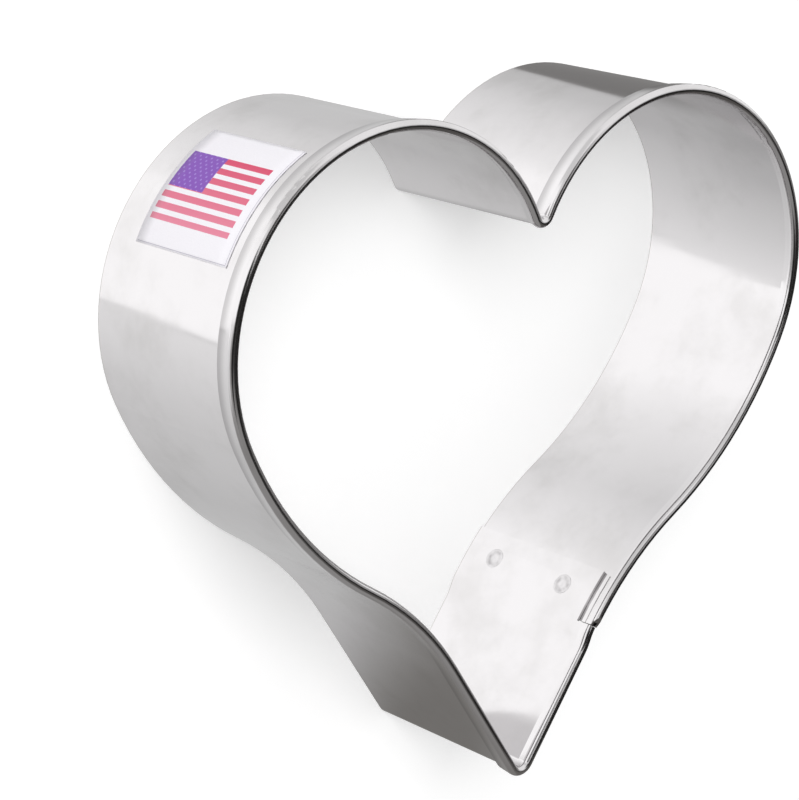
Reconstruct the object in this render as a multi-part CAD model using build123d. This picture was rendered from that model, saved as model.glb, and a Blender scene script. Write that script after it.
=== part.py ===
"""Heart cookie cutter: one tinplate strip bent to a heart, with a rolled rim and lapped, spot-welded ends.

Z is up. The cutting edge lies on z = 0 and the rolled rim is the top. The cleft of the heart points to +Y and
its tip to -Y. The origin is the middle of the outline, on the cutting edge. Lengths are in millimetres and
angles in degrees, positive to the left of someone who walks along the strip. The strip is walked clockwise as
seen from above, so its outer face is always on the left.
"""

import math
import os

from build123d import *

# Strip
sheet_thickness = 0.32
cutter_depth = 22.2

# Heart outline, on the inner face of the strip, from the cleft to the tip
cleft_radius = 1.3
cleft_half_angle = 63.2
lobe_radius = 20.6
lobe_angle = -179.2
flank_radius = 41.7
flank_angle = -32.9
waist_radius = 38.3
waist_angle = 24.5
tip_radius = 1.1

# Rolled rim: the sheet leans inwards from a crease, rolls over to the outside and comes back down to the wall
rim_height = 2.4
roll_inside_radius = 0.255
lean_inwards = 0.25
lean_angle = 15.0
raw_edge_gap = 0.05
hollow_corner_angle = 105.0

# Lapped ends: a tab without a rim steps in behind the outer end of the strip
lap_length = 6.1
lap_gap = 0.05
joggle_inside_radius = 5.8
rim_end_gap = 0.15
rim_corner_length = 1.2
rim_corner_height = 0.5

# Spot welds through both layers of the lap
weld_diameter = 2.3
weld_pitch = 11.0
weld_dimple = 0.05

# Paper label on the outside of the left lobe, placed by the angle round the lobe from the cleft to its middle
label_side = 14.3
label_thickness = 0.1
label_angle = 109.4

# How far a cut runs past the faces that it opens
overrun = 1.0


def toward(angle):
    """Unit vector in the plan, at an angle from +X."""
    return Vector(1, 0).rotate(Axis.Z, angle)


def follow(start, heading, runs):
    """Joins straight runs (length, 0) and bends (radius, turn) end to end, each tangent to the one before."""
    edges = []
    for size, turn in runs:
        start = edges[-1] @ 1 if edges else Vector(start)
        if turn == 0:
            edges.append(Line(start, start + size * toward(heading)))
        elif size > 0:
            edges.append(JernArc(start, toward(heading), size, turn))
        heading += turn
    return edges


def flattened(edges):
    """Straight sides that touch the edges from outside, with one corner or a few at each bend."""
    corners = [edges[0] @ 0]
    for edge in edges:
        if edge.geom_type == GeomType.CIRCLE:
            turn = edge.length / edge.radius
            count = math.ceil(turn / math.radians(hollow_corner_angle))
            reach = 1 / math.cos(turn / count / 2)
            touches = [edge @ ((2 * i + 1) / (2 * count)) for i in range(count)]
            corners.extend(edge.arc_center + reach * (touch - edge.arc_center) for touch in touches)
    corners.append(edges[-1] @ 1)
    return [Line(a, b) for a, b in zip(corners, corners[1:])]


def sheet_section(runs):
    """Cross-section of a bent sheet, from the cutting edge up. Each bend is given by its inside radius.

    The side that the rim hides has corners for bends.
    """
    shown_runs = [(size + sheet_thickness if turn < 0 else size, turn) for size, turn in runs]
    hidden_runs = [(size + sheet_thickness if turn > 0 else size, turn) for size, turn in runs]
    shown = follow((0, 0), 90, shown_runs)
    hidden = flattened(follow((sheet_thickness, 0), 90, hidden_runs))
    cutting_edge = Line(shown[0] @ 0, hidden[0] @ 0)
    raw_edge = Line(shown[-1] @ 1, hidden[-1] @ 1)
    return make_face([*shown, raw_edge, *hidden, cutting_edge])


def rim_section():
    """Cross-section of the strip: a straight wall, and a rolled rim whose raw edge comes back to the wall."""
    roll_outside_radius = roll_inside_radius + sheet_thickness
    roll_across = roll_outside_radius - lean_inwards
    roll_height = cutter_depth - roll_outside_radius

    # The lean starts at a crease in the wall and runs tangent into the roll
    lean = math.radians(lean_angle)
    crease_below = (roll_outside_radius - roll_across * math.cos(lean)) / math.sin(lean)
    lean_length = crease_below * math.cos(lean) - roll_across * math.sin(lean)

    # The return leg is tangent to the roll, and its lower inside corner stands just clear of the wall
    across = roll_across - sheet_thickness - raw_edge_gap
    down = rim_height - roll_outside_radius
    reach = math.hypot(across, down)
    closing_angle = math.degrees(math.asin(roll_inside_radius / reach) + math.atan2(across, down))
    leg_length = math.sqrt(reach**2 - roll_inside_radius**2)

    return sheet_section(
        [
            (roll_height - crease_below, 0),
            (0, lean_angle),
            (lean_length, 0),
            (roll_inside_radius, -180 - lean_angle - closing_angle),
            (leg_length, 0),
        ]
    )


def bent_strip(section, edges):
    """Strip with a cross-section that is stood up at the start of a path in the plan and carried along it."""
    path = Wire(edges)
    start_heading = path % 0
    stand = Plane(origin=path @ 0, x_dir=start_heading.rotate(Axis.Z, 90), z_dir=start_heading)
    return sweep(stand * section, path)


# Half of the heart, from the middle of the cleft down to the end of the waist
lobe_runs = [(lobe_radius, lobe_angle), (flank_radius, flank_angle), (waist_radius, waist_angle)]
half_heart = follow((0, 0), 0, [(cleft_radius, cleft_half_angle), *lobe_runs])
lobe_centre = half_heart[1].arc_center
waist_centre = half_heart[3].arc_center
waist_end = half_heart[3] @ 1
flank_heading = cleft_half_angle + lobe_angle + flank_angle + waist_angle

# The straight flank runs on until it meets the tip's bend, which is centred under the cleft
tip_half_angle = -90 - flank_heading
tip_half_width = tip_radius * math.cos(math.radians(tip_half_angle))
flank_length = (waist_end.X - tip_half_width) / math.sin(math.radians(tip_half_angle))
tip_angle = 2 * tip_half_angle - 180

# The tab's layer lies inside the outer layer, one sheet and a gap away, and ends under the plain wall
lap_step = sheet_thickness + lap_gap
lap_angle = math.degrees(lap_length / waist_radius)
tab_height = cutter_depth - rim_height


def heart_strip():
    """The strip with its rim, from beside the lap through tip, left lobe and cleft to the right waist."""
    joggle_span = 2 * joggle_inside_radius + sheet_thickness
    joggle_angle = math.degrees(math.acos(1 - lap_step / joggle_span))
    joggle_length = joggle_span * math.sin(math.radians(joggle_angle))
    rim_start = waist_end + rim_end_gap * toward(flank_heading) - lap_step * toward(flank_heading + 90)
    heart_runs = [
        (joggle_inside_radius + sheet_thickness, joggle_angle),
        (joggle_inside_radius, -joggle_angle),
        (flank_length - rim_end_gap - joggle_length, 0),
        (tip_radius, tip_angle),
        (flank_length, 0),
        *reversed(lobe_runs),
        (cleft_radius, 2 * cleft_half_angle),
        *lobe_runs,
    ]
    return bent_strip(rim_section(), follow(rim_start, flank_heading, heart_runs))


def tab():
    """End of the strip that lies under the lap: the wall alone, notched down to the rim's raw edge."""
    tab_radius = waist_radius + lap_step
    tab_heading = flank_heading - lap_angle
    tab_start = waist_centre - tab_radius * toward(tab_heading + 90)
    tab_runs = [(tab_radius, lap_angle), (rim_end_gap, 0)]
    return bent_strip(sheet_section([(tab_height, 0)]), follow(tab_start, tab_heading, tab_runs))


def rim_corner():
    """Wedge that is snipped off the top corner of the rim where the outer layer ends."""
    clear_side = rim_end_gap / 2
    profile = Polygon(
        (-rim_corner_length, 0),
        (0, -rim_corner_height),
        (clear_side, -rim_corner_height),
        (clear_side, overrun),
        (-rim_corner_length, overrun),
        align=None,
    )
    upright = Plane(
        origin=waist_end + Vector(0, 0, cutter_depth),
        x_dir=toward(flank_heading),
        z_dir=-toward(flank_heading + 90),
    )
    return extrude(upright * profile, rim_height, both=True)


def weld_discs(outer_end, inner_end):
    """A round disc at each weld, between two depths below the outer face of the lap."""
    outwards = toward(flank_heading - lap_angle / 2 + 90)
    outer_face = waist_centre - (waist_radius - sheet_thickness) * outwards
    discs = Part()
    for height in (tab_height / 2 - weld_pitch / 2, tab_height / 2 + weld_pitch / 2):
        face = Plane(origin=outer_face + Vector(0, 0, height), z_dir=-outwards)
        discs += extrude(face.offset(outer_end) * Circle(weld_diameter / 2), inner_end - outer_end)
    return discs


def cutter_band():
    """The whole strip, with the snipped rim corner and the two welded places open."""
    lap_thickness = sheet_thickness + lap_step
    weld_holes = weld_discs(-overrun, lap_thickness + overrun)
    return heart_strip() + tab() - rim_corner() - weld_holes


def spot_welds():
    """Two nuggets that fill both layers, dimpled a little below each face."""
    lap_thickness = sheet_thickness + lap_step
    return weld_discs(weld_dimple, lap_thickness - weld_dimple)


def label():
    """Square of paper glued round the outside of the left lobe, halfway up the wall."""
    outside_radius = lobe_radius + sheet_thickness
    axis_place = Vector(-lobe_centre.X, lobe_centre.Y)
    span = math.degrees(label_side / outside_radius)
    middle_angle = 180 - (cleft_half_angle + 90 - label_angle)
    first_side = toward(middle_angle - span / 2)
    stand = Plane(
        origin=axis_place + outside_radius * first_side + Vector(0, 0, cutter_depth / 2),
        x_dir=first_side,
        z_dir=first_side.rotate(Axis.Z, -90),
    )
    section = stand * Rectangle(label_thickness, label_side, align=(Align.MIN, Align.CENTER))
    return revolve(section, Axis(axis_place, (0, 0, 1)), span)


def write_parts():
    """Writes each piece to its own file, with the middle of the outline at the origin."""
    pieces = {"cutter_band": cutter_band(), "spot_welds": spot_welds(), "label": label()}
    middle = pieces["cutter_band"].bounding_box().center()
    os.makedirs("parts", exist_ok=True)
    for name, piece in pieces.items():
        piece.label = name
        export_step(Pos(-middle.X, -middle.Y) * piece, f"parts/{name}.step")


write_parts()
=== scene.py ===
"""Heart cookie cutter: finishes, weld marks, printed label and studio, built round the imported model.

Z is up, the cutting edge lies on z = 0, and the tip of the heart points to -Y. Meshes and settings are in
metres, and the numbers of the label's print are in millimetres.
"""

import math
from functools import partial

import bmesh
import bpy
from bpy.props import FloatProperty, FloatVectorProperty, IntProperty, PointerProperty
from mathutils import Matrix, Vector


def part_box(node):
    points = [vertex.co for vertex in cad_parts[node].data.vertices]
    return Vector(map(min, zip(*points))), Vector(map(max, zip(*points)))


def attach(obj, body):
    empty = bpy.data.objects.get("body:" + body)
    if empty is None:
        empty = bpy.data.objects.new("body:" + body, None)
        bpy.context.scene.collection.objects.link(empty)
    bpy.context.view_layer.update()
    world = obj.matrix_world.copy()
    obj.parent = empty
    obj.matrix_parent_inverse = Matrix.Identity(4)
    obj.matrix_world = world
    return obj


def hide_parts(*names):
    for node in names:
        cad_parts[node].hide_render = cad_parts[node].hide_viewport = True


bl_info = {
    "name": "Heart Cookie Cutter",
    "version": (1, 0, 0),
    "blender": (4, 5, 0),
    "location": "View3D > Sidebar > Cutter",
    "description": "Tinplate, weld marks, printed label and studio for a heart-shaped cookie cutter",
    "category": "Object",
}

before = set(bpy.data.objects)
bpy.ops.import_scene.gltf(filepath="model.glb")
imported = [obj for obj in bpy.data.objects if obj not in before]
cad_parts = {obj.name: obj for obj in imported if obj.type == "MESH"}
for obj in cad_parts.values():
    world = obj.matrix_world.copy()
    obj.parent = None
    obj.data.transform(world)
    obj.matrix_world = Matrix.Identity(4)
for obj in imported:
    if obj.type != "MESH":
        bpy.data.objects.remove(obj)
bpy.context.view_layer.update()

MM = 0.001
WELDS_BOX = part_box("spot_welds")
LABEL_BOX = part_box("label")


def linear(colour, alpha=1.0):
    """Linear RGBA of an sRGB colour, written as a hex number."""
    channels = ((colour >> 16) & 255, (colour >> 8) & 255, colour & 255)
    shares = (channel / 255 for channel in channels)
    return (*(s / 12.92 if s <= 0.04045 else ((s + 0.055) / 1.055) ** 2.4 for s in shares), alpha)


def colour_setting(name, description, colour):
    """A colour that a user may change, given as an sRGB hex number."""
    return FloatVectorProperty(
        name=name, description=description, default=linear(colour), subtype="COLOR", size=4, min=0, max=1
    )


def length_setting(name, description, millimetres):
    """A length that a user may change, given in millimetres."""
    length = millimetres * MM
    return FloatProperty(
        name=name, description=description, default=length, subtype="DISTANCE", unit="LENGTH", min=0
    )


def place_setting(name, description, millimetres):
    """A place that a user may change, given in millimetres."""
    place = [value * MM for value in millimetres]
    return FloatVectorProperty(
        name=name, description=description, default=place, subtype="TRANSLATION", unit="LENGTH", size=3
    )


def angle_setting(name, description, degrees):
    """An angle that a user may change, given in degrees."""
    return FloatProperty(name=name, description=description, default=math.radians(degrees), subtype="ANGLE")


def share_setting(name, description, share):
    """A share between zero and one that a user may change."""
    return FloatProperty(name=name, description=description, default=share, subtype="FACTOR", min=0, max=1)


class TinplateSettings(bpy.types.PropertyGroup):
    """Finish of the bent strip."""

    tin: colour_setting("Tin", "Bright tin coating", 0xD2D0D1)
    stain: colour_setting("Stain", "Tin under a handling stain", 0xC6C4C4)
    # Painted shade: darker tin on the rim's downward-facing return above its raw edge
    edge_shade: colour_setting("Edge shade", "Tin along the rim's raw edge, where dust is caught", 0xB0AEAF)
    cut_steel: colour_setting("Cut steel", "Bare steel along the sheared edge", 0xA9A6A2)
    roughness: share_setting("Roughness", "Of clean flat tin", 0.07)
    stained_roughness: share_setting("Stained roughness", "Of flat tin where it is most stained", 0.14)
    rolled_roughness: share_setting("Rolled roughness", "Of tin that the rolling of the rim stretched", 0.13)
    sheared_roughness: share_setting("Sheared roughness", "Added along the sheared edge", 0.3)
    stain_size: length_setting("Stain size", "Across one cloudy patch", 9.0)
    stain_cover: share_setting("Stain cover", "How far the darkest stains hide the clean tin", 0.8)
    grain_pitch: length_setting("Grain pitch", "Between rolling lines", 0.35)
    grain_depth: length_setting("Grain depth", "Of the rolling lines", 0.0001)
    swell_size: length_setting("Swell size", "Across one shallow swell of the sheet", 12.0)
    swell_depth: length_setting("Swell depth", "Of the shallow swells", 0.02)
    sheared_height: length_setting("Sheared height", "Of the bare steel above the cutting edge", 0.05)
    roll_start: length_setting("Roll start", "Height at which the rim begins to roll", 20.6)
    roll_full: length_setting("Roll full", "Height above which the rim is fully rolled", 21.3)
    rim_start: length_setting("Rim start", "Height of the rim's raw edge", 19.95)


class WeldSettings(bpy.types.PropertyGroup):
    """Size and finish of the spot weld marks."""

    diameter: length_setting("Diameter", "Across one weld mark", 2.3)
    heading: angle_setting("Heading", "Direction in the plan that the welds' outer faces look in", -38.96)
    lap_thickness: length_setting("Lap thickness", "Through both layers of the lap", 0.69)
    groove_depth: length_setting("Groove depth", "Of the ring that the electrode left", 0.022)
    spot_size: length_setting("Spot size", "Across one duller spot", 0.9)
    steel: colour_setting("Weld steel", "Tin that was melted by the weld", 0xCECCCD)
    burnt: colour_setting("Burnt ring", "Tin that the electrode's rim dulled", 0xA6A4A5)


class LabelSettings(bpy.types.PropertyGroup):
    """Size and print of the paper label."""

    side: length_setting("Side", "Of the square label", 14.3)
    thickness: length_setting("Thickness", "Of the paper", 0.1)
    wall_radius: length_setting("Wall radius", "Of the wall's outer face under the label", 20.92)
    middle: angle_setting("Middle", "Direction of the label's middle in the plan", 136.2)
    paper: colour_setting("Paper", "White label stock", 0xF0EEF3)
    rose: colour_setting("Rose", "Printed stripes at the top", 0xD23A62)
    faded_rose: colour_setting("Faded rose", "Printed stripes at the bottom", 0xDE8098)
    violet: colour_setting("Violet", "Printed corner field", 0x7C44B0)
    violet_dots: colour_setting("Violet dots", "Small dots in the corner field", 0x9678C8)
    fibre: colour_setting("Fibre", "Label stock where its fibres show", 0xECEAEF)
    # Painted shadow: grey of the thin lines drawn along the label's right and lower edges
    edge_shadow_ink: colour_setting("Edge shadow", "Fine printed line at two sides", 0xB9B6C2)
    stripes: IntProperty(name="Stripes", description="Rose and white stripes in all", default=13, min=1)


class StageSettings(bpy.types.PropertyGroup):
    """Floor, light and camera."""

    floor_side: length_setting("Floor side", "Of the square floor", 1600.0)
    floor: colour_setting("Floor", "Matt white floor", 0xF2F2F2)
    floor_mottle: colour_setting("Floor mottle", "Duller patches of the floor", 0xF1F1F1)
    floor_glow: share_setting("Floor glow", "White that the floor adds to what the camera sees of it", 0.27)
    room: colour_setting("Room", "Light of the room on matt surfaces", 0xCDCDCD)
    mirrored_gain: share_setting("Mirrored gain", "How much brighter metal mirrors the room", 0.455)
    # Painted shadow: a grey sheet that only metal mirrors, standing in for shade on the floor round the tip
    shade: colour_setting("Shade", "Grey cloth that only metal mirrors", 0x84827F)
    shade_side: length_setting("Shade side", "Of the square cloth", 60.0)
    shade_core: length_setting("Shade core", "From the cloth's middle to where it begins to thin out", 4.0)
    shade_reach: length_setting("Shade reach", "From the cloth's middle to where it ends", 27.0)
    shade_place: place_setting("Shade place", "Middle of the cloth, across the heart's tip", (0.0, -37.6, 8.0))
    lamp_side: length_setting("Lamp side", "Of the square lamp", 260.0)
    lamp_power: FloatProperty(
        name="Lamp power", description="Of the square lamp", default=1.4, min=0, unit="POWER"
    )
    lamp_place: place_setting("Lamp place", "Where the lamp stands", (-260.0, 220.0, 420.0))
    camera_place: place_setting("Camera place", "Where the camera stands", (-197.39, 84.07, 219.50))
    camera_turn: FloatVectorProperty(
        name="Camera turn",
        description="Rotation about X, Y and Z",
        default=[math.radians(angle) for angle in (-17.1673, -41.5785, 2.0451)],
        subtype="EULER",
        size=3,
    )
    lens: FloatProperty(name="Lens", description="Focal length", default=124.43, unit="CAMERA")


def add_node(tree, kind, inputs=(), output=0, **settings):
    """Adds a node with its settings, fills or links its inputs, and returns one of its outputs."""
    node = tree.nodes.new("ShaderNode" + kind)
    for name, value in settings.items():
        setattr(node, name, value)
    for place, value in inputs.items() if isinstance(inputs, dict) else enumerate(inputs):
        if isinstance(value, bpy.types.NodeSocket):
            tree.links.new(value, node.inputs[place])
        else:
            node.inputs[place].default_value = value
    return node.outputs[output] if node.outputs else None


def new_material(name):
    """An empty node material, and what adds nodes to it."""
    material = bpy.data.materials.new(name)
    material.use_nodes = True
    material.node_tree.nodes.clear()
    return material, partial(add_node, material.node_tree)


def tinplate_material(settings):
    """Electrolytic tinplate, cold-rolled and bright.

    It mirrors the room with crisp edges and is faintly clouded, swollen and stained. The rolling of the rim
    has stretched the tin there, so its highlights are soft. Bare steel shows along the sheared edge.
    """
    material, add = new_material("bright_tinplate")
    place = add("TexCoord", output="Object")
    height = add("SeparateXYZ", [place], output="Z")

    cloudy = {"Vector": place, "Scale": 1 / settings.stain_size, "Detail": 4.0, "Roughness": 0.6}
    stains = add("TexNoise", cloudy)
    stained = add("MapRange", [stains, 0.42, 0.75, 0.0, settings.stain_cover], interpolation_type="SMOOTHSTEP")
    tin = add("Mix", {0: stained, 6: settings.tin, 7: settings.stain}, output=2, data_type="RGBA")

    # Painted shade above the rim's raw edge: on the outside the rim faces a little down as it comes back to the
    # wall, and the tin there is painted darker
    return_slope, slope_spread = -0.11, 0.08
    facing_up = add("SeparateXYZ", [add("TexCoord", output="Normal")], output="Z")
    on_return = add("Math", [facing_up, return_slope, slope_spread], operation="COMPARE")
    edge_shade_ends = [settings.rim_start, settings.roll_full]
    thinning = add("MapRange", [height, *edge_shade_ends, 1.0, 0.0], interpolation_type="SMOOTHSTEP")
    edge_shaded = add("Math", [on_return, thinning], operation="MULTIPLY")
    tin = add("Mix", {0: edge_shaded, 6: tin, 7: settings.edge_shade}, output=2, data_type="RGBA")

    # Bare steel along the cutting edge
    sheared = add("MapRange", [height, settings.sheared_height, 1.6 * settings.sheared_height, 1.0, 0.0])
    colour = add("Mix", {0: sheared, 6: tin, 7: settings.cut_steel}, output=2, data_type="RGBA")

    # Stains, the stretched rim and the sheared edge each dull the tin
    flat = add("MapRange", [stains, 0.3, 0.8, settings.roughness, settings.stained_roughness])
    roll_ends = [settings.roll_start, settings.roll_full]
    stretched = settings.rolled_roughness - settings.roughness
    rolled = add("MapRange", [height, *roll_ends, 0.0, stretched], interpolation_type="SMOOTHSTEP")
    rough = add("Math", [flat, rolled], operation="ADD")
    rough = add("Math", [sheared, settings.sheared_roughness, rough], operation="MULTIPLY_ADD")

    # Shallow swells, and rolling lines that run along the strip: close in height, drawn out in the plan
    swelling = {"Vector": place, "Scale": 1 / settings.swell_size, "Detail": 1.0, "Roughness": 0.3}
    swells = add("TexNoise", swelling)
    swollen = add("Bump", {"Strength": 1.0, "Distance": settings.swell_depth, "Height": swells})
    drawn_out = add("Mapping", {"Vector": place, "Scale": (0.06, 0.06, 1.0)})
    grain = add("TexNoise", {"Vector": drawn_out, "Scale": 1 / settings.grain_pitch, "Detail": 3.0})
    fine = {"Strength": 1.0, "Distance": settings.grain_depth, "Height": grain, "Normal": swollen}
    normal = add("Bump", fine)

    finish = {"Metallic": 1.0, "Base Color": colour, "Roughness": rough, "Normal": normal}
    add("OutputMaterial", {"Surface": add("BsdfPrincipled", finish)})
    return material


def weld_material(settings):
    """Tin that the electrodes melted and squeezed.

    It is as bright as the sheet inside, with a duller ring where the rim of the electrode pressed and burnt it.
    """
    material, add = new_material("spot_weld_tin")
    place = add("TexCoord", output="Object")
    spots = add("TexNoise", {"Vector": place, "Scale": 1 / settings.spot_size, "Detail": 2.0})
    dulled = add("MapRange", [spots, 0.3, 0.6, 0.35, 1.0], interpolation_type="SMOOTHSTEP")

    # The ring is darkest at this share of the mark's radius
    ring_share = 0.64
    across = add("Attribute", attribute_name="across", output="Fac")
    off_ring = add("Math", [add("Math", [across, ring_share], operation="SUBTRACT")], operation="ABSOLUTE")
    ring = add("MapRange", [off_ring, 0.02, 0.34, 1.0, 0.3], interpolation_type="SMOOTHSTEP")
    burnt = add("Math", [ring, dulled], operation="MULTIPLY")
    colour = add("Mix", {0: burnt, 6: settings.steel, 7: settings.burnt}, output=2, data_type="RGBA")
    rough = add("MapRange", [spots, 0.3, 0.7, 0.09, 0.14])
    surface = add("BsdfPrincipled", {"Metallic": 1.0, "Base Color": colour, "Roughness": rough})
    add("OutputMaterial", {"Surface": surface})
    return material


def label_material(settings):
    """Coated label paper with a printed flag of stripes: smooth, slightly shiny, faintly fibrous."""
    material, add = new_material("printed_label_paper")
    print_place = add("UVMap", uv_map="print")
    side = settings.side / MM
    scaled = add("VectorMath", {0: print_place, "Scale": side}, operation="SCALE")
    across = add("SeparateXYZ", [scaled], output="X")
    up = add("SeparateXYZ", [scaled], output="Y")

    def inside(value, low, high):
        """One between two places, zero elsewhere."""
        above = add("Math", [value, low], operation="GREATER_THAN")
        below = add("Math", [value, high], operation="LESS_THAN")
        return add("Math", [above, below], operation="MULTIPLY")

    def box(left, right, low, high):
        """One inside a rectangle of the print, zero elsewhere."""
        return add("Math", [inside(across, left, right), inside(up, low, high)], operation="MULTIPLY")

    # The print's places, in millimetres from the label's lower left corner
    flag_left, flag_right, flag_low, flag_high = 0.6, 12.9, 2.7, 10.95
    field_right = 5.95
    stripe_pitch = (flag_high - flag_low) / (settings.stripes / 2)
    rose_width = 0.57 * stripe_pitch
    field_low = flag_high - 3.5 * stripe_pitch

    from_top = add("Math", [flag_high, up], operation="SUBTRACT")
    phase = add("Math", [from_top, stripe_pitch], operation="MODULO")
    in_rose = add("Math", [phase, rose_width], operation="LESS_THAN")
    in_flag = box(flag_left, flag_right, flag_low, flag_high)
    in_stripe = add("Math", [in_flag, in_rose], operation="MULTIPLY")

    def dot_rows(shift):
        """Rows of dots, moved by a share of their pitch."""
        columns, rows, radius = 6, 5, 0.13
        offsets = []
        for value, start, end, count in (
            (across, flag_left, field_right, columns),
            (up, field_low, flag_high, rows),
        ):
            pitch = (end - start) / count
            from_start = add("Math", [value, start - shift * pitch], operation="SUBTRACT")
            in_pitch = add("Math", [from_start, pitch], operation="MODULO")
            offsets.append(add("Math", [in_pitch, pitch / 2], operation="SUBTRACT"))
        offset = add("CombineXYZ", offsets)
        away = add("VectorMath", [offset], output="Value", operation="LENGTH")
        return add("Math", [away, radius], operation="LESS_THAN")

    dots = add("Math", [dot_rows(0.0), dot_rows(0.5)], operation="MAXIMUM")
    violet = add("Mix", {0: dots, 6: settings.violet, 7: settings.violet_dots}, output=2, data_type="RGBA")

    # Painted shadow: thin grey lines near the right and the lower side, where the label's edge casts shade
    shadow_inset, shadow_width = 0.16, 0.07
    upright_shadow = box(side - shadow_inset - shadow_width, side - shadow_inset, shadow_inset, side)
    level_shadow = box(shadow_inset, side - shadow_inset, shadow_inset, shadow_inset + shadow_width)
    lines = add("Math", [upright_shadow, level_shadow], operation="MAXIMUM")

    # The stripes fade towards the bottom
    fading = add("MapRange", [up, flag_high, flag_low])
    rose = add("Mix", {0: fading, 6: settings.rose, 7: settings.faded_rose}, output=2, data_type="RGBA")

    # Fibres of the paper, about 0.16 mm apart, which also roughen its face
    fibre_count = 90.0
    fibres = add("TexNoise", {"Vector": print_place, "Scale": fibre_count, "Detail": 4.0})
    fibrous = add("MapRange", [fibres, 0.3, 0.7], interpolation_type="SMOOTHSTEP")
    colour = add("Mix", {0: fibrous, 6: settings.paper, 7: settings.fibre}, output=2, data_type="RGBA")
    in_field = box(flag_left, field_right, field_low, flag_high)
    for share, ink in ((lines, settings.edge_shadow_ink), (in_stripe, rose), (in_field, violet)):
        colour = add("Mix", {0: share, 6: colour, 7: ink}, output=2, data_type="RGBA")

    bump = add("Bump", {"Strength": 0.3, "Distance": 0.01 * MM, "Height": fibres})
    surface = add("BsdfPrincipled", {"Base Color": colour, "Roughness": 0.45, "Normal": bump})
    add("OutputMaterial", {"Surface": surface})
    return material


def add_piece(name, builder, material, node):
    """Makes an object from a finished bmesh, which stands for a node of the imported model."""
    mesh = bpy.data.meshes.new(name)
    builder.normal_update()
    builder.to_mesh(mesh)
    builder.free()
    mesh.materials.append(material)
    piece = bpy.data.objects.new(name, mesh)
    bpy.context.scene.collection.objects.link(piece)
    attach(piece, "root")
    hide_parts(node)
    return piece


class CUTTER_OT_finish_tinplate(bpy.types.Operator):
    """Gives the bent strip its bright tinplate finish"""

    bl_idname = "cutter.finish_tinplate"
    bl_label = "Finish Tinplate"

    def execute(self, context):
        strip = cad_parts["cutter_band"]
        strip.data.materials.clear()
        strip.data.materials.append(tinplate_material(context.scene.cutter_tinplate))
        return {"FINISHED"}


class CUTTER_OT_build_welds(bpy.types.Operator):
    """Builds the two spot weld marks, with the electrodes' ring on both faces of the lap"""

    bl_idname = "cutter.build_welds"
    bl_label = "Build Spot Welds"

    def execute(self, context):
        settings = context.scene.cutter_welds
        radius = settings.diameter / 2
        low, high = WELDS_BOX
        middle = (low + high) / 2
        centres = [Vector((middle.x, middle.y, z)) for z in (low.z + radius, high.z - radius)]

        # Half of the section, from the middle of one face round the edge to the middle of the other. Each pair
        # is a share of the radius, and how far the face dips there as a share of the groove's depth
        face = settings.lap_thickness / 2
        middle_dips = ((0, 0.5), (0.3, 0.4))
        ring_dips = ((0.46, 0.6), (0.58, 1.2), (0.7, 1), (0.8, 0.2))
        edge_dips = ((0.95, 0.05), (1, 0.02))
        dips = middle_dips + ring_dips + edge_dips
        section = [(radius * share, face - settings.groove_depth * depth) for share, depth in dips]
        section += [(across, -along) for across, along in reversed(section)]

        marks = bmesh.new()
        share_layer = marks.verts.layers.float.new("across")
        for centre in centres:
            turn = Matrix.Rotation(settings.heading, 4, "Z") @ Matrix.Rotation(math.pi / 2, 4, "Y")
            corners = [marks.verts.new(Vector((across, 0, along))) for across, along in section]
            edges = [marks.edges.new(pair) for pair in zip(corners, corners[1:])]
            bmesh.ops.spin(
                marks,
                geom=corners + edges,
                axis=(0, 0, 1),
                cent=(0, 0, 0),
                angle=2 * math.pi,
                steps=48,
                use_merge=True,
                use_duplicate=False,
            )
            spun = [corner for corner in marks.verts if not corner.tag]
            for corner in spun:
                corner[share_layer] = math.hypot(corner.co.x, corner.co.y) / radius
            bmesh.ops.transform(marks, matrix=Matrix.Translation(centre) @ turn, verts=spun)
            for corner in spun:
                corner.tag = True
        bmesh.ops.remove_doubles(marks, verts=marks.verts, dist=0.001 * MM)
        bmesh.ops.recalc_face_normals(marks, faces=marks.faces)
        for side in marks.faces:
            side.smooth = True
        piece = add_piece("spot_weld_marks", marks, weld_material(settings), "spot_welds")
        return {"FINISHED"}


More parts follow.
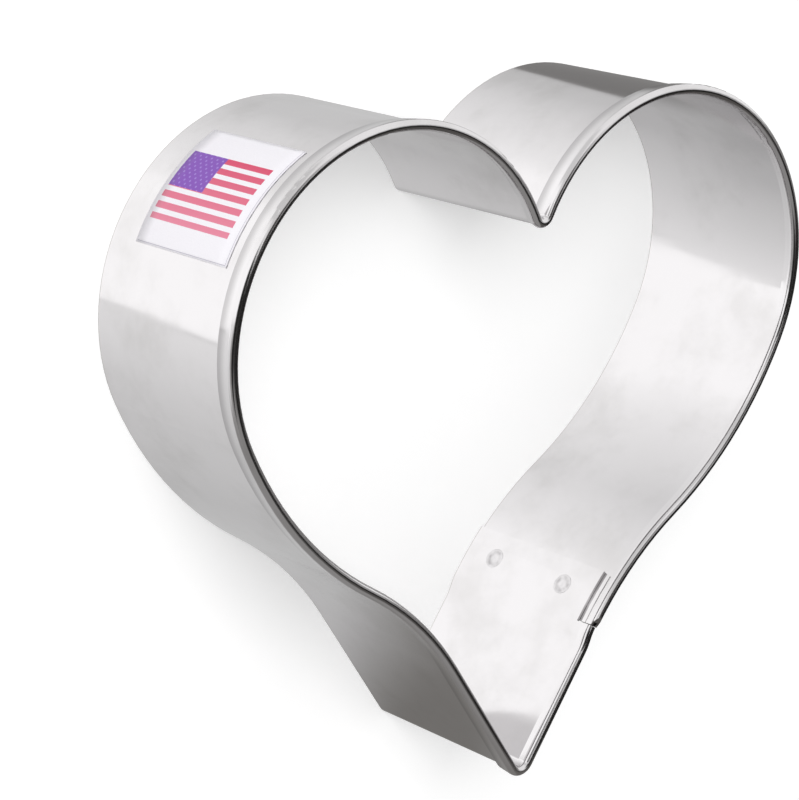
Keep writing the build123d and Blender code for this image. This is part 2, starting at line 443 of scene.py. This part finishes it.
class CUTTER_OT_build_label(bpy.types.Operator):
    """Builds the paper label round the left lobe, with its print"""

    bl_idname = "cutter.build_label"
    bl_label = "Build Label"

    def execute(self, context):
        settings = context.scene.cutter_label
        low, high = LABEL_BOX
        radius = settings.wall_radius + settings.thickness
        span = settings.side / settings.wall_radius

        # The label's ends touch two sides of its box, which gives the axis of the lobe
        ends = [settings.middle + turn * span / 2 for turn in (-1, 1)]
        axis_x = low.x - min(math.cos(end) for end in ends) * radius
        axis_y = high.y - max(math.sin(end) for end in ends) * radius
        axis_place = Vector((axis_x, axis_y, 0))

        sheet = bmesh.new()
        rows, columns = 8, 32
        step = (high.z - low.z) / rows
        start = Vector((math.cos(ends[0]), math.sin(ends[0]), 0)) * radius
        heights = [low.z + row * step for row in range(rows + 1)]
        line = [sheet.verts.new(axis_place + start + Vector((0, 0, height))) for height in heights]
        edges = [sheet.edges.new(pair) for pair in zip(line, line[1:])]
        bmesh.ops.spin(
            sheet,
            geom=line + edges,
            axis=(0, 0, 1),
            cent=axis_place,
            angle=span,
            steps=columns,
            use_merge=False,
            use_duplicate=False,
        )
        bmesh.ops.recalc_face_normals(sheet, faces=sheet.faces)
        outwards = sum(side.normal.dot(side.calc_center_median() - axis_place) for side in sheet.faces)
        if outwards < 0:
            bmesh.ops.reverse_faces(sheet, faces=sheet.faces)

        layer = sheet.loops.layers.uv.new("print")
        for side in sheet.faces:
            side.smooth = True
            for corner in side.loops:
                arm = corner.vert.co - axis_place
                turn = math.atan2(arm.y, arm.x) - ends[0]
                share_across = (corner.vert.co.z - low.z) / (high.z - low.z)
                corner[layer].uv = (share_across, 1 - turn / span)
        bmesh.ops.solidify(sheet, geom=sheet.faces[:], thickness=settings.thickness)
        piece = add_piece("paper_label", sheet, label_material(settings), "label")
        return {"FINISHED"}


def studio_world(scene):
    """White to the camera, plain to matt surfaces, and to metal a studio of panels.

    A wide white panel stands low on the camera's side and ends at a sharp edge, past which the light fades. A
    dark card stands opposite. Pale and dark panels hang above, and the darkest are overhead.
    """
    settings = scene.cutter_stage
    world = bpy.data.worlds.new("studio")
    scene.world = world
    world.use_nodes = True
    world.node_tree.nodes.clear()
    add = partial(add_node, world.node_tree)
    way = add("TexCoord", output="Generated")
    upwards = add("SeparateXYZ", [way], output="Z")
    elevation = add("Math", [add("Math", [upwards], operation="ARCSINE")], operation="DEGREES")

    def turn_from(azimuth):
        """Signed angle in the plan from a direction, in degrees."""
        back = {"Vector": way, "Angle": -math.radians(azimuth)}
        turned = add("VectorRotate", back, rotation_type="Z_AXIS")
        x = add("SeparateXYZ", [turned], output="X")
        y = add("SeparateXYZ", [turned], output="Y")
        return add("Math", [add("Math", [y, x], operation="ARCTAN2")], operation="DEGREES")

    def by_elevation(low, high, at_low, at_high):
        """Changes smoothly between two elevations."""
        return add("MapRange", [elevation, low, high, at_low, at_high], interpolation_type="SMOOTHSTEP")

    # Greys round the horizon, by the angle from the white panel's sharp edge. The higher, the farther the edge
    # leans and the narrower the panel is
    low_lean = by_elevation(-52.5, -49.0, -0.5, -4.5)
    middle_lean = by_elevation(-48.0, -42.0, 0.0, 4.2)
    high_lean = add("MapRange", [elevation, -42.0, -38.9, 0.0, 21.6])
    lean = add("Math", [add("Math", [low_lean, middle_lean], operation="ADD"), high_lean], operation="ADD")
    low_squeeze = by_elevation(-48.0, -42.0, 1.0, 1.18)
    high_squeeze = by_elevation(-41.6, -39.8, 0.0, 0.34)
    squeeze = add("Math", [low_squeeze, high_squeeze], operation="ADD")
    from_edge = add("Math", [turn_from(190.0), squeeze, lean], operation="MULTIPLY_ADD")
    round_horizon = add("MapRange", [from_edge, -180.0, 180.0])
    greys = (
        (-180, 0xB9B9B9),
        (-155, 0xC3C3C3),
        (-130, 0xD9D9D9),
        (-108, 0xE6E6E6),
        (-90, 0xF2F2F2),
        (-78, 0xFFFFFF),
        (-0.9, 0xFFFFFF),
        (-0.4, 0xC6C6C6),
        (0.4, 0xC6C6C6),
        (1.2, 0xE2E2E2),
        (12, 0xDEDEDE),
        (40, 0xCFCFCF),
        (75, 0xBFBFBF),
        (95, 0xB2B2B2),
        (115, 0xAEAEAE),
        (140, 0x9F9F9F),
        (180, 0xB9B9B9),
    )
    studio = add("ValToRGB", [round_horizon])
    band = studio.node.color_ramp
    band.elements.remove(band.elements[1])
    for index, (turn, grey) in enumerate(greys):
        element = band.elements[0] if index == 0 else band.elements.new((turn + 180) / 360)
        element.position = (turn + 180) / 360
        element.color = linear(grey)

    # Dark card opposite the panel, with a slanted edge
    from_card = turn_from(335.0)
    left_side = add("MapRange", [from_card, -50.0, -10.0], interpolation_type="SMOOTHSTEP")
    lower_end = add("MapRange", [from_card, -10.0, 15.0, -41.0, -45.0])
    low_side = add("MapRange", [elevation, -47.0, lower_end], interpolation_type="SMOOTHSTEP")
    slant = add("MapRange", [elevation, -50.0, -42.0, 33.0, 72.0])
    retreat = add("MapRange", [elevation, -40.0, -34.0, 0.0, -34.0])
    right_edge = add("Math", [slant, retreat], operation="ADD")
    past_edge = add("Math", [from_card, right_edge], operation="SUBTRACT")
    right_side = add("MapRange", [past_edge, -1.2, 1.2, 1.0, 0.0], interpolation_type="SMOOTHSTEP")
    card = add("Math", [left_side, right_side], operation="MULTIPLY")
    card = add("Math", [card, low_side], operation="MULTIPLY")
    card = add("Math", [card, by_elevation(30.0, 42.0, 1.0, 0.0)], operation="MULTIPLY")
    studio = add("Mix", {0: card, 6: studio, 7: linear(0x747372)}, output=2, data_type="RGBA")

    # Panels that hang above or just reach below the horizon: azimuth of the middle, half width, lower and upper
    # end, softness, grey
    for azimuth, half_width, low, high, soft, grey in (
        (268.0, 54.0, -28.0, 95.0, 8.0, 0x858483),
        (50.0, 44.0, -28.0, 60.0, 4.0, 0xE8E8E8),
        (111.0, 17.0, -28.0, 60.0, 3.0, 0xCDCDCD),
        (45.0, 75.0, 66.0, 95.0, 6.0, 0x403E3D),
        (205.0, 24.0, 6.0, 60.0, 8.0, 0x8E8D8C),
        (182.0, 46.0, 34.0, 95.0, 8.0, 0x1C1B1A),
        (270.0, 70.0, 68.0, 95.0, 6.0, 0x302F2E),
        (311.0, 18.0, -18.0, 50.0, 5.0, 0x4C4A48),
        (323.0, 26.0, 50.0, 95.0, 5.0, 0x1A1918),
        (336.0, 14.0, -20.0, 95.0, 4.0, 0x1A1918),
    ):
        aside = add("Math", [turn_from(azimuth)], operation="ABSOLUTE")
        sides = [half_width - soft, half_width + soft]
        between = add("MapRange", [aside, *sides, 1.0, 0.0], interpolation_type="SMOOTHSTEP")
        above = by_elevation(low - soft, low + soft, 0.0, 1.0)
        below = by_elevation(high - soft, high + soft, 1.0, 0.0)
        panel = add("Math", [above, below], operation="MULTIPLY")
        panel = add("Math", [panel, between], operation="MULTIPLY")
        studio = add("Mix", {0: panel, 6: studio, 7: linear(grey)}, output=2, data_type="RGBA")

    glossy = add("LightPath", output="Is Glossy Ray")
    camera = add("LightPath", output="Is Camera Ray")
    seen = add("Mix", {0: glossy, 6: settings.room, 7: studio}, output=2, data_type="RGBA")
    seen = add("Mix", {0: camera, 6: seen, 7: linear(0xFFFFFF)}, output=2, data_type="RGBA")
    strength = add("Math", [glossy, settings.mirrored_gain, 1.0], operation="MULTIPLY_ADD")
    background = add("Background", [seen, strength])
    add("OutputWorld", {"Surface": background})


def floor_material(settings):
    """Matt white board. To the camera it also glows a little, so that it is white where no shadow falls."""
    material, add = new_material("matt_white_board")
    place = add("TexCoord", output="Object")
    mottle_size = 25 * MM
    mottle = add("TexNoise", {"Vector": place, "Scale": 1 / mottle_size})
    mottled = add("MapRange", [mottle, 0.4, 0.6], interpolation_type="SMOOTHSTEP")
    colour = add("Mix", {0: mottled, 6: settings.floor, 7: settings.floor_mottle}, output=2, data_type="RGBA")
    board = add("BsdfDiffuse", {"Color": colour})
    seen = add("LightPath", output="Is Camera Ray")
    glow = add("Emission", {"Strength": add("Math", [seen, settings.floor_glow], operation="MULTIPLY")})
    add("OutputMaterial", {"Surface": add("AddShader", [board, glow])})
    return material


def shade_material(settings):
    """Grey cloth that thins out towards its edge, seen only in metal: a painted reflection of shadow around the
    heart's tip.
    """
    material, add = new_material("tip_shadow_cloth")
    place = add("TexCoord", output="Object")
    away = add("VectorMath", [place], output="Value", operation="LENGTH")
    thins_out = [settings.shade_core, settings.shade_reach]
    cover = add("MapRange", [away, *thins_out, 1.0, 0.0], interpolation_type="SMOOTHSTEP")
    grey = add("Emission", {"Color": settings.shade})
    add("OutputMaterial", {"Surface": add("MixShader", [cover, add("BsdfTransparent"), grey])})
    return material


def add_square(name, side, material):
    """Adds a flat square to the scene, level and centred on the origin."""
    builder = bmesh.new()
    bmesh.ops.create_grid(builder, x_segments=1, y_segments=1, size=side / 2)
    mesh = bpy.data.meshes.new(name)
    builder.to_mesh(mesh)
    builder.free()
    mesh.materials.append(material)
    square = bpy.data.objects.new(name, mesh)
    bpy.context.scene.collection.objects.link(square)
    return square


class CUTTER_OT_set_stage(bpy.types.Operator):
    """Sets up the floor, the studio, the lamp and the camera"""

    bl_idname = "cutter.set_stage"
    bl_label = "Set Stage"

    def execute(self, context):
        scene = context.scene
        settings = scene.cutter_stage

        floor = add_square("floor", settings.floor_side, floor_material(settings))
        floor.visible_glossy = False

        # Upright cloth that only metal mirrors, across the tip of the heart: it puts a painted reflection of
        # shadow into the metal near the tip
        shade = add_square("tip_shade", settings.shade_side, shade_material(settings))
        shade.location = settings.shade_place
        shade.rotation_euler = (math.pi / 2, 0, 0)
        for rays in ("camera", "diffuse", "transmission", "volume_scatter", "shadow"):
            setattr(shade, f"visible_{rays}", False)

        studio_world(scene)
        lamp = bpy.data.lights.new("key_lamp", "AREA")
        lamp.size = settings.lamp_side
        lamp.energy = settings.lamp_power
        stand = bpy.data.objects.new("key_lamp", lamp)
        stand.location = settings.lamp_place
        stand.rotation_euler = (-stand.location).to_track_quat("-Z", "Y").to_euler()
        stand.visible_glossy = False
        scene.collection.objects.link(stand)

        camera = bpy.data.cameras.new("camera")
        camera.sensor_fit = "HORIZONTAL"
        camera.sensor_width = 36
        camera.lens = settings.lens
        camera.clip_start = 0.01
        tripod = bpy.data.objects.new("camera", camera)
        tripod.location = settings.camera_place
        tripod.rotation_euler = settings.camera_turn
        scene.collection.objects.link(tripod)
        scene.camera = tripod
        scene.view_settings.view_transform = "Standard"
        return {"FINISHED"}


class CUTTER_PT_pieces(bpy.types.Panel):
    """Lists what the script builds"""

    bl_label = "Heart Cookie Cutter"
    bl_idname = "CUTTER_PT_pieces"
    bl_space_type = "VIEW_3D"
    bl_region_type = "UI"
    bl_category = "Cutter"

    def draw(self, context):
        for operator, group in STEPS:
            self.layout.operator(operator.bl_idname)
            settings = getattr(context.scene, group)
            for name in settings.__annotations__:
                self.layout.prop(settings, name)


STEPS = (
    (CUTTER_OT_finish_tinplate, "cutter_tinplate"),
    (CUTTER_OT_build_welds, "cutter_welds"),
    (CUTTER_OT_build_label, "cutter_label"),
    (CUTTER_OT_set_stage, "cutter_stage"),
)
GROUPS = {
    "cutter_tinplate": TinplateSettings,
    "cutter_welds": WeldSettings,
    "cutter_label": LabelSettings,
    "cutter_stage": StageSettings,
}
CLASSES = (*GROUPS.values(), *(operator for operator, _ in STEPS), CUTTER_PT_pieces)


def register():
    for cls in CLASSES:
        bpy.utils.register_class(cls)
    for name, group in GROUPS.items():
        setattr(bpy.types.Scene, name, PointerProperty(type=group))


def unregister():
    for name in GROUPS:
        delattr(bpy.types.Scene, name)
    for cls in reversed(CLASSES):
        bpy.utils.unregister_class(cls)


def main():
    register()
    bpy.ops.cutter.finish_tinplate()
    bpy.ops.cutter.build_welds()
    bpy.ops.cutter.build_label()
    bpy.ops.cutter.set_stage()


if __name__ == "__main__":
    main()
